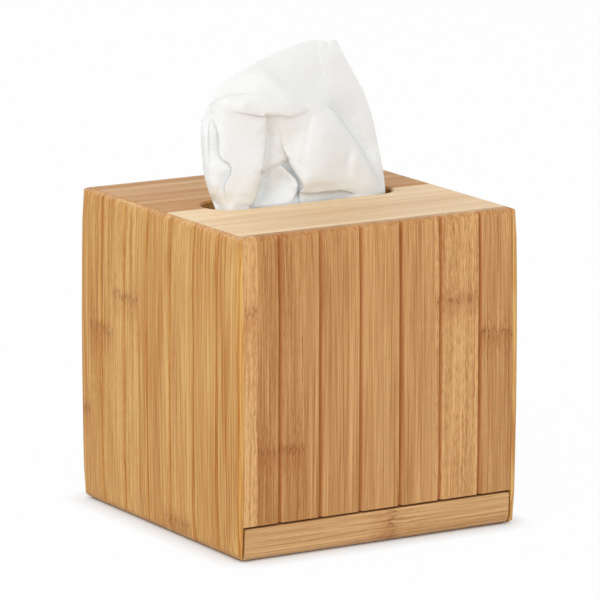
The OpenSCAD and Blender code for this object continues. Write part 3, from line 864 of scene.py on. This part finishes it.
# %% Distance to a fold line
def beside_line(a, b, line, values):
    """Signed distance to a line, plus on its left, its value and place there, and the way past its ends."""
    dense = smooth_line(np.column_stack([np.array(line, float), np.array(values, float)]))
    best, side, value, near_a, near_b, past = (np.full(a.shape, x) for x in (1e9, 1.0, 0.0, 0.0, 0.0, 0.0))
    last = len(dense) - 2
    for k, ((x0, y0, v0), (x1, y1, v1)) in enumerate(zip(dense[:-1], dense[1:])):
        dx, dy = x1 - x0, y1 - y0
        length = math.hypot(dx, dy)
        along = ((a - x0) * dx + (b - y0) * dy) / length ** 2
        t = np.clip(along, 0.0, 1.0)
        away = np.hypot(a - x0 - t * dx, b - y0 - t * dy)
        nearer = away < best
        best = np.where(nearer, away, best)
        side = np.where(nearer, np.where(dx * (b - y0) - dy * (a - x0) < 0, -1.0, 1.0), side)
        value = np.where(nearer, v0 + t * (v1 - v0), value)
        near_a = np.where(nearer, x0 + t * dx, near_a)
        near_b = np.where(nearer, y0 + t * dy, near_b)
        over = np.zeros(a.shape)
        if k == 0:
            over = np.maximum(-along, 0.0)
        if k == last:
            over = np.maximum(along - 1.0, 0.0)
        past = np.where(nearer, over * length, past)
    return best * side, value, near_a, near_b, past


print("longest fold line:", max(len(line) for line, *_ in LEDGES + CREASES + BACK_FOLDS), "points")

# %% Folds of the front layer
PULL_INSIDE, PULL_FADE, PULL = 0.3, 0.7, 0.96
FULL_PULL_STEP = 0.6
LEDGE_END, CREASE_END = 0.8, 1.5


def drawn_to_lines(grid):
    """The grid with its closest points pulled onto the ledges, so that every step has a clean edge."""
    grid = grid.copy()
    inner = np.zeros(grid.shape[:2])
    inner[1:-1, 1:-1] = 1.0
    for line, steps, _, _ in LEDGES:
        off, step, near_a, near_b, past = beside_line(grid[..., 0], grid[..., 1], line, steps)
        kept = ease((np.abs(off) - PULL_INSIDE) / PULL_FADE)
        pull = (1.0 - kept) * inner * ease(step / FULL_PULL_STEP) * (past < 0.01)
        grid[..., 0] += pull * (near_a - grid[..., 0]) * PULL
        grid[..., 1] += pull * (near_b - grid[..., 1]) * PULL
    return grid


def folds(a, b):
    """What the ledges and creases add to the depth."""
    depth = np.zeros(a.shape)
    for line, steps, share, reach in LEDGES:
        off, step, _, _, past = beside_line(a, b, line, steps)
        fade = np.exp(-(off / reach) ** 2 - (past / LEDGE_END) ** 2)
        depth += step * fade * np.where(off < 0, 1.0 - share, -share)
    for line, deep, width in CREASES:
        off, amount, _, _, past = beside_line(a, b, line, deep)
        depth += amount * np.exp(-(off / width) ** 2 - (past / CREASE_END) ** 2)
    return depth


def placed(spots):
    """Right, up and depth of spots given across, down and depth."""
    places = on_plane(spot[:2] for spot in spots)
    return np.array([(*place, spot[2]) for place, spot in zip(places, spots)])


base_places, sheet_places = placed(BASE_SPOTS), placed(SHEET_SPOTS)
under_folds = sheet_places.copy()
under_folds[:, 2] -= folds(sheet_places[:, 0], sheet_places[:, 1])
base_surface = thin_plate(np.vstack([base_places, under_folds]))


def front_depth(a, b):
    return base_surface(a, b) + folds(a, b)


missed = np.abs(front_depth(sheet_places[:, 0], sheet_places[:, 1]) - sheet_places[:, 2]).max()
print("the sheet misses its own", len(SHEET_SPOTS), "spots by at most", round(missed, 3), "mm")

# %% Pleats of the back layer
PLEAT_END, PLEAT_TOP = 2.0, 0.5


def back_folds(a, b):
    """How far the pleats stand out at the back, with a rounded top on each."""
    height = np.zeros(a.shape)
    for line, heights, width in BACK_FOLDS:
        off, amount, _, _, past = beside_line(a, b, line, heights)
        height += amount * np.exp(-np.sqrt(off ** 2 + PLEAT_TOP) / width - (past / PLEAT_END) ** 2)
    return height


print("pleats:", len(BACK_FOLDS))

# %% [markdown]
# ## The drawn tissue: the whole sheet
# The front layer is a grid between the four outlines. The back layer lies behind it, with soft waves and
# pleats of its own, and both meet in the round fold at the left. Below, the sheet goes down through the
# slot, gathers, and its tail lies on the pack.

# %% Grid between the outlines
FRONT_COLUMNS, BACK_COLUMNS, ROWS = 150, 78, 168


def patch(s, t):
    """Places between the four outlines, at shares s across and t up."""
    foot, top = along_line(FOOT_EDGE, s)[None], along_line(TOP_EDGE, s)[None]
    left, right = along_line(LEFT_EDGE, t)[:, None], along_line(RIGHT_EDGE, t)[:, None]
    s, t = s[None, :, None], t[:, None, None]
    low_corners = (1 - s) * (1 - t) * foot[:, :1] + s * (1 - t) * foot[:, -1:]
    corners = low_corners + (1 - s) * t * top[:, :1] + s * t * top[:, -1:]
    return (1 - t) * foot + t * top + (1 - s) * left + s * right - corners


def seen(grid, depth):
    """Places at these depths that are seen where the grid's places on the upright plane are seen."""
    farther = (depth - EYE[1]) / (SEEN_PLANE - EYE[1])
    x = EYE[0] + (grid[..., 0] - EYE[0]) * farther
    z = EYE[2] + (grid[..., 1] - EYE[2]) * farther
    return np.stack([x, depth, z], axis=-1)


def blurred(field, rounds):
    """The field with each inner value moved toward its four neighbours."""
    for _ in range(rounds):
        smoother = field.copy()
        smoother[1:-1, 1:-1] = (4 * field[1:-1, 1:-1] + field[:-2, 1:-1] + field[2:, 1:-1]
                                + field[1:-1, :-2] + field[1:-1, 2:]) / 8
        field = smoother
    return field


print("grid:", ROWS, "rows of", FRONT_COLUMNS, "and", BACK_COLUMNS, "columns")

# %% Room in the slot
SLOT_STRAIGHT, SLOT_ROOM, SLOT_BACK = 34.5, 11.4, 3.4
RIM_AT, RIM_FADE = 140.6, 8.0
ROOM_ROUNDS = 6


def in_slot(points):
    x = np.clip(points[..., 0], -SLOT_STRAIGHT - SLOT_ROOM, SLOT_STRAIGHT + SLOT_ROOM)
    over = np.maximum(0.0, np.abs(x) - SLOT_STRAIGHT)
    room = np.sqrt(np.maximum(SLOT_ROOM ** 2 - over ** 2, 0.0))
    y = np.clip(points[..., 1], -room, np.minimum(room, SLOT_BACK))
    return np.stack([x, y, points[..., 2]], axis=-1)


def kept_in_slot(grid, depth):
    """Depths that keep the sheet inside the slot near the rim; each place moves along the line of sight."""
    inside = depth
    for _ in range(ROOM_ROUNDS):
        over = np.maximum(0.0, np.abs(seen(grid, inside)[..., 0]) - SLOT_STRAIGHT)
        room = np.sqrt(np.maximum(SLOT_ROOM ** 2 - over ** 2, 0.2))
        inside = np.clip(inside, -room, np.minimum(room, SLOT_BACK))
    near = 1.0 - ease((grid[..., 1] - RIM_AT) / RIM_FADE)
    return depth + (inside - depth) * near


def round_start(s, width):
    """A quarter circle from 0 to 1 over the first width of s."""
    return np.sqrt(1.0 - (1.0 - np.clip(s / width, 0.0, 1.0)) ** 2)


print("room in the slot:", 2 * (SLOT_STRAIGHT + SLOT_ROOM), "mm long")

# %% Front layer and what is behind it
CROWDING = 1.15
FOLD_DEPTHS = [-5.2, -4.6, -4.8]
FRONT_ROUND, BACK_ROUND = 0.04, 0.1
LAYER_GAP, LEAST_GAP = 0.7, 0.35
INSET_ACROSS, INSET_UP, INSET_FADE = 0.988, 0.99, 0.15
up_shares = np.linspace(0.0, 1.0, ROWS)
front_shares = np.linspace(0.0, 1.0, FRONT_COLUMNS) ** CROWDING
back_shares = np.linspace(0.0, 1.0, BACK_COLUMNS) ** CROWDING
sideways, upwards = np.meshgrid(back_shares, up_shares)
fold_depth = np.interp(up_shares, [0.0, 0.5, 1.0], FOLD_DEPTHS)[:, None]
front_grid = drawn_to_lines(patch(front_shares, up_shares))
back_grid = patch(back_shares, up_shares)
inset = patch(back_shares * INSET_ACROSS, up_shares * INSET_UP)
back_grid += (inset - back_grid) * ease(sideways / INSET_FADE)[..., None]
front = front_depth(front_grid[..., 0], front_grid[..., 1])
front = fold_depth + (front - fold_depth) * round_start(front_shares, FRONT_ROUND)[None]
front_there = front_depth(back_grid[..., 0], back_grid[..., 1])
front_at_back = blurred(front_there, 6) + LAYER_GAP
print("front layer:", round(front.min(), 1), "to", round(front.max(), 1), "mm deep")

# %% Back layer
# Below, it stands apart with a belly and waves. Above, it lies close to the front layer. Both have pleats.
BELLY_FOOT, BELLY = 3.0, 2.4
SHUT_FROM, SHUT_OVER, TOP_SHUT_OVER = 0.45, 0.55, 0.12
PLEAT_APART, PLEAT_CLOSE = 1.4, 1.1
long_waves = 0.9 * np.sin(2 * math.pi * (2.2 * sideways + 0.35 * upwards))
short_waves = 0.5 * np.sin(2 * math.pi * (5.1 * sideways - 0.6 * upwards) + 1.0)
belly = BELLY_FOOT + BELLY * np.sin(math.pi * np.clip(upwards * 1.1, 0, 1))
belly = belly + (long_waves + short_waves) * ease(upwards * 5)
pleats = PLEAT_APART * back_folds(back_grid[..., 0], back_grid[..., 1])
pleats = pleats * ease(sideways / 0.1) * ease((1 - sideways) / 0.06)
shut = ease((upwards - SHUT_FROM) / SHUT_OVER)
behind = (belly + pleats) * (1 - shut) + (front_at_back + PLEAT_CLOSE * pleats) * shut
behind = np.maximum(front_at_back, behind)
behind = front_at_back + (behind - front_at_back) * ease((1 - upwards) / TOP_SHUT_OVER)
behind = fold_depth + (behind - fold_depth) * round_start(back_shares, BACK_ROUND)[None]
least = fold_depth + (front_there + LEAST_GAP - fold_depth) * round_start(back_shares, FRONT_ROUND)[None]
behind = np.maximum(behind, least)
front, behind = kept_in_slot(front_grid, front), kept_in_slot(back_grid, behind)
upper = np.concatenate([seen(front_grid, front)[:, ::-1], seen(back_grid, behind)[:, 1:]], axis=1)
print("back layer:", round(behind.min(), 1), "to", round(behind.max(), 1), "mm deep")

# %% [markdown]
# Below the rim each row is a blend between the section in the slot and a plain, gathered U that is as wide
# as the slot lets it be. The tail spreads over the pack to both sides.

# %% Neck
PACK_TOP = PACK_FOOT / MM + PACK_HEIGHT / MM
NECK_TOP, NECK_FOOT, NECK_ROWS = 139.4, 131.0, 7
LOW_TOP, LOW_ROWS, TAIL_LIFT = 128.0, 24, 0.9
RIM_DROP, IN_SLOT_ABOVE = 9.0, 130.0
GATHER_WIDTH, GATHER_HALF, GATHER_DEPTH, GATHER_BACK = 92.0, 4.6, 2.6, 1.0
columns = upper.shape[1]
around = np.concatenate([front_shares[::-1], back_shares[1:]])
side = np.where(np.arange(columns) < FRONT_COLUMNS, -1.0, 1.0)
gather = np.sin(2 * math.pi * 8 * around + 0.6) + 0.4 * np.sin(2 * math.pi * 17 * around)
closing = np.minimum(1.0, around / 0.05)
neck_levels = np.linspace(NECK_TOP, NECK_FOOT, NECK_ROWS)
low_levels = np.linspace(LOW_TOP, PACK_TOP + TAIL_LIFT, LOW_ROWS)
lower = []
for z in np.concatenate([neck_levels, low_levels]):
    plainness = ease((NECK_FOOT - z) / (NECK_FOOT - PACK_TOP))
    x = -GATHER_WIDTH / 2 + GATHER_WIDTH * around
    y = side * (GATHER_HALF * closing + 0.3) - GATHER_BACK + GATHER_DEPTH * plainness * gather * closing
    plain = np.stack([x, y, np.full(columns, z)], axis=-1)
    level = upper[0].copy()
    drop = ease((upper[0, :, 2].max() - z) / RIM_DROP)
    level[:, 2] = level[:, 2] * (1 - drop) + z * drop
    level[:, 2] = np.minimum(level[:, 2], z + 3.0 * (1 - drop))
    row = level * (1 - plainness) + plain * plainness
    row[:, 2] = level[:, 2]
    lower.append(in_slot(row) if z > IN_SLOT_ABOVE else row)
print("neck:", len(lower), "rows down to", round(float(lower[-1][:, 2].mean()), 1), "mm")

# %% Tail on the pack
TAIL_ROWS, TAIL_STEP, TAIL_WIDENS = 14, 2.3, 0.004
TAIL_WAVES, TAIL_WAVE, TAIL_CALMS = 6, 0.55, 0.12
tail = []
for k in range(1, TAIL_ROWS + 1):
    row = lower[-1].copy()
    row[:, 0] *= 1.0 + TAIL_WIDENS * k
    row[:, 1] += side * TAIL_STEP * k * np.minimum(1.0, 0.35 + closing)
    wave = 1 + np.sin(2 * math.pi * TAIL_WAVES * around + 0.35 * k)
    row[:, 2] = PACK_TOP + 0.3 + TAIL_WAVE * wave * math.exp(-TAIL_CALMS * k)
    tail.append(row)
sheet = np.array(tail[::-1] + lower[::-1] + list(upper))
print("sheet:", sheet.shape[0], "rows of", sheet.shape[1], "places")

# %% Ripple and thickness
PAPER_THICKNESS, RIPPLE = 0.28, 0.11
rng = np.random.default_rng(7)
ripple = blurred(rng.normal(0.0, 1.0, sheet.shape[:2]), 6)
outward = np.cross(np.gradient(sheet, axis=0), np.gradient(sheet, axis=1))
outward /= np.maximum(np.linalg.norm(outward, axis=2, keepdims=True), 1e-9)
in_view = np.clip((sheet[..., 2:] - 141.0) / 3.0, 0.0, 1.0)
sheet = sheet + (RIPPLE * ripple)[..., None] * outward * in_view
half = outward * PAPER_THICKNESS / 2
skin = np.concatenate([(sheet + half).reshape(-1, 3), (sheet - half).reshape(-1, 3)])
rows, count = sheet.shape[:2]
size = rows * count
index = np.arange(size).reshape(rows, count)
quads = np.stack([index[:-1, :-1], index[1:, :-1], index[1:, 1:], index[:-1, 1:]], axis=-1).reshape(-1, 4)
rim = np.concatenate([index[0, :], index[1:, -1], index[-1, -2::-1], index[-2:0:-1, 0]])
edge = np.stack([rim, np.roll(rim, -1), np.roll(rim, -1) + size, rim + size], axis=-1)
faces = np.concatenate([quads, quads[:, ::-1] + size, edge])
print("skin:", len(skin), "points,", len(faces), "faces")

# %% The tissue as a piece
SHARP_ANGLE = math.radians(48)
tissue_mesh = bpy.data.meshes.new("drawn_tissue")
tissue_mesh.from_pydata((skin * MM).tolist(), [], faces.tolist())
tissue_mesh.materials.append(TISSUE_WHITE)
tissue_mesh.polygons.foreach_set("use_smooth", [True] * len(tissue_mesh.polygons))
tissue_mesh.update()
tissue_mesh.set_sharp_from_angle(angle=SHARP_ANGLE)
tissue = bpy.data.objects.new("drawn_tissue", tissue_mesh)
bpy.context.scene.collection.objects.link(tissue)
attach(tissue, "box")
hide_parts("tissue")
volume = sum(face.center.dot(face.normal) * face.area for face in tissue_mesh.polygons) / 3.0
cloth_area = sum(face.area for face in tissue_mesh.polygons) / 2.0
print("tissue: sheet area", round(cloth_area * 1e4, 1), "cm2, volume", round(volume * 1e9, 1), "mm3")

# %% [markdown]
# ## Floor and light
# A plain pale floor carries the box. The camera sees it nearly white, with the box's soft shadow kept, and
# the world behind is white for the camera and for reflections only. The light itself stays plain: an even
# sky and three large soft lamps: the key from the upper left, a fill in front and a weaker one that keeps
# the back pale.

# %% Floor
FLOOR_HALF = 6.0
FLOOR_GREY, FLOOR_WHITE = (0.8, 0.8, 0.8, 1.0), 0.97
CONTACT_REACH, CONTACT_POWER = 0.012, 1.5


def seen_directly(tree):
    """One where a camera, mirror or see-through ray meets it, and zero where it only gives light."""
    path = add_node(tree, "ShaderNodeLightPath")
    seen_by = maths(tree, "MAXIMUM", path.outputs["Is Camera Ray"], path.outputs["Is Glossy Ray"])
    return maths(tree, "MAXIMUM", seen_by, path.outputs["Is Transmission Ray"])


corners = [(x * FLOOR_HALF, y * FLOOR_HALF, 0.0) for x, y in ((-1, -1), (1, -1), (1, 1), (-1, 1))]
floor_mesh = bpy.data.meshes.new("floor")
floor_mesh.from_pydata(corners, [], [(0, 1, 2, 3)])
floor = bpy.data.objects.new("floor", floor_mesh)
bpy.context.scene.collection.objects.link(floor)
floor_material = bpy.data.materials.new("floor")
floor_material.use_nodes = True
tree = floor_material.node_tree
tree.nodes.remove(tree.nodes["Principled BSDF"])
matt = add_node(tree, "ShaderNodeBsdfDiffuse")
matt.inputs["Color"].default_value = FLOOR_GREY
white = add_node(tree, "ShaderNodeEmission")
white.inputs["Strength"].default_value = 1.0
both = add_node(tree, "ShaderNodeMixShader")
near_contact = add_node(tree, "ShaderNodeAmbientOcclusion", samples=8)
near_contact.inputs["Distance"].default_value = CONTACT_REACH
open_floor = maths(tree, "POWER", near_contact.outputs["AO"], CONTACT_POWER)
whiteness = maths(tree, "MULTIPLY", maths(tree, "MULTIPLY", seen_directly(tree), open_floor), FLOOR_WHITE)
feed_all(tree, (whiteness, matt.outputs[0], white.outputs[0]), both)
tree.links.new(both.outputs[0], tree.nodes["Material Output"].inputs["Surface"])
floor_mesh.materials.append(floor_material)
print("floor:", 2 * FLOOR_HALF, "m square")

# %% Sky and lamps
SKY, WHITE_SKY = 0.66, 1.0
AIM = Vector((0.0, 0.0, 0.09))
# Lamp, place, size in metres and power in watts.
LAMPS = [
    ("key", (-1.0, -0.6, 0.95), 0.6, 6.2),
    ("fill", (-0.2, -1.3, 0.6), 0.9, 5.0),
    ("back", (-0.3, 1.4, 1.0), 0.9, 4.6),
]
world = bpy.data.worlds.new("studio")
world.use_nodes = True
bpy.context.scene.world = world
tree = world.node_tree
sky = tree.nodes["Background"]
sky.inputs["Color"].default_value = (1.0, 1.0, 1.0, 1.0)
sky_light = remap(tree, seen_directly(tree), 0.0, 1.0, SKY, WHITE_SKY, smooth=False)
tree.links.new(sky_light, sky.inputs["Strength"])
for name, place, size, power in LAMPS:
    data = bpy.data.lights.new(name, "AREA")
    data.size = size
    data.energy = power
    lamp = bpy.data.objects.new(name, data)
    lamp.location = place
    lamp.rotation_mode = "QUATERNION"
    lamp.rotation_quaternion = (Vector(place) - AIM).to_track_quat("Z", "Y")
    bpy.context.scene.collection.objects.link(lamp)
bpy.context.scene.view_settings.view_transform = "Standard"
print("lamps:", [name for name, *_ in LAMPS])
